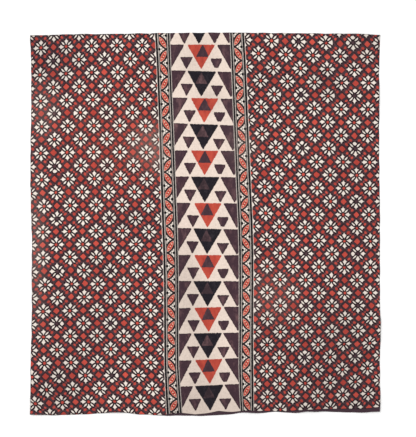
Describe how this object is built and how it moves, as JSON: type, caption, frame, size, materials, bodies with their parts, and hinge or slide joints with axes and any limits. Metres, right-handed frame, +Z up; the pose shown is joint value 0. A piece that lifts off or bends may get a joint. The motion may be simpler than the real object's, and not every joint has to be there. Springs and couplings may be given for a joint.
{
  "type": "block print fabric",
  "caption": "Cotton cloth lying flat in one layer, block printed with flower fields, leaf borders and a triangle band, with a narrow turned hem.",
  "frame": {"origin": "on the resting surface, under the middle of the cloth's outline", "axes": "+Z up from the surface the cloth lies on, +Y towards the upper end of the print, +X to the right of someone who looks down with +Y away from them"},
  "size_m": [1.12, 1.226, 0.01],
  "materials": {
    "printed_cotton": "matt plain-weave cotton, printed in dark brown, black, red and cream, a little faded"
  },
  "bodies": {
    "root": {"cloth": "printed_cotton"}
  },
  "joints": []
}
